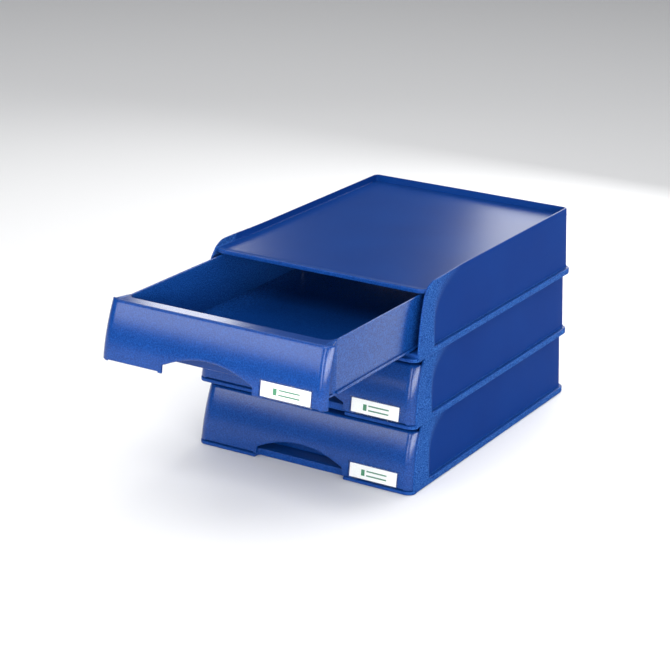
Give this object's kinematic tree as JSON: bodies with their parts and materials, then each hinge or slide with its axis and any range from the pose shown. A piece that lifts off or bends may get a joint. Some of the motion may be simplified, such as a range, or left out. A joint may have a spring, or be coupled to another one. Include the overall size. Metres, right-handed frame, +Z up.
{
  "type": "drawer letter tray",
  "caption": "Stacking letter trays for A4 paper, each a shallow housing with a sliding drawer, a finger cut-out in its curved front and a clear label holder.",
  "frame": {"origin": "underside of the bottom housing, in the middle of its front edge, 10 mm behind the front of the base lip", "axes": "+Z up; drawers open towards -Y; X across the trays"},
  "size_m": [0.255, 0.5298, 0.2148],
  "materials": {
    "housing_plastic": "moulded polystyrene, fine grain at the front of the sides, satin gloss elsewhere",
    "drawer_plastic": "moulded polystyrene with a fine grain",
    "clear_window": "clear polished",
    "label_card": "white card"
  },
  "bodies": {
    "stack": {"housing_bottom": "housing_plastic", "housing_middle": "housing_plastic", "housing_top": "housing_plastic"},
    "bottom_drawer": {"drawer_bottom": "drawer_plastic", "label_window_bottom": "clear_window", "label_card_bottom": "label_card"},
    "middle_drawer": {"drawer_middle": "drawer_plastic", "label_window_middle": "clear_window", "label_card_middle": "label_card"},
    "top_drawer": {"drawer_top": "drawer_plastic", "label_window_top": "clear_window", "label_card_top": "label_card"}
  },
  "joints": [
    {"name": "bottom_drawer_slide", "type": "slide", "parent": "stack", "child": "bottom_drawer", "axis": [0, -1, 0], "range_m": [0, 0.27]},
    {"name": "middle_drawer_slide", "type": "slide", "parent": "stack", "child": "middle_drawer", "axis": [0, -1, 0], "range_m": [0, 0.27]},
    {"name": "top_drawer_slide", "type": "slide", "parent": "stack", "child": "top_drawer", "axis": [0, -1, 0], "range_m": [-0.169, 0.101]}
  ]
}
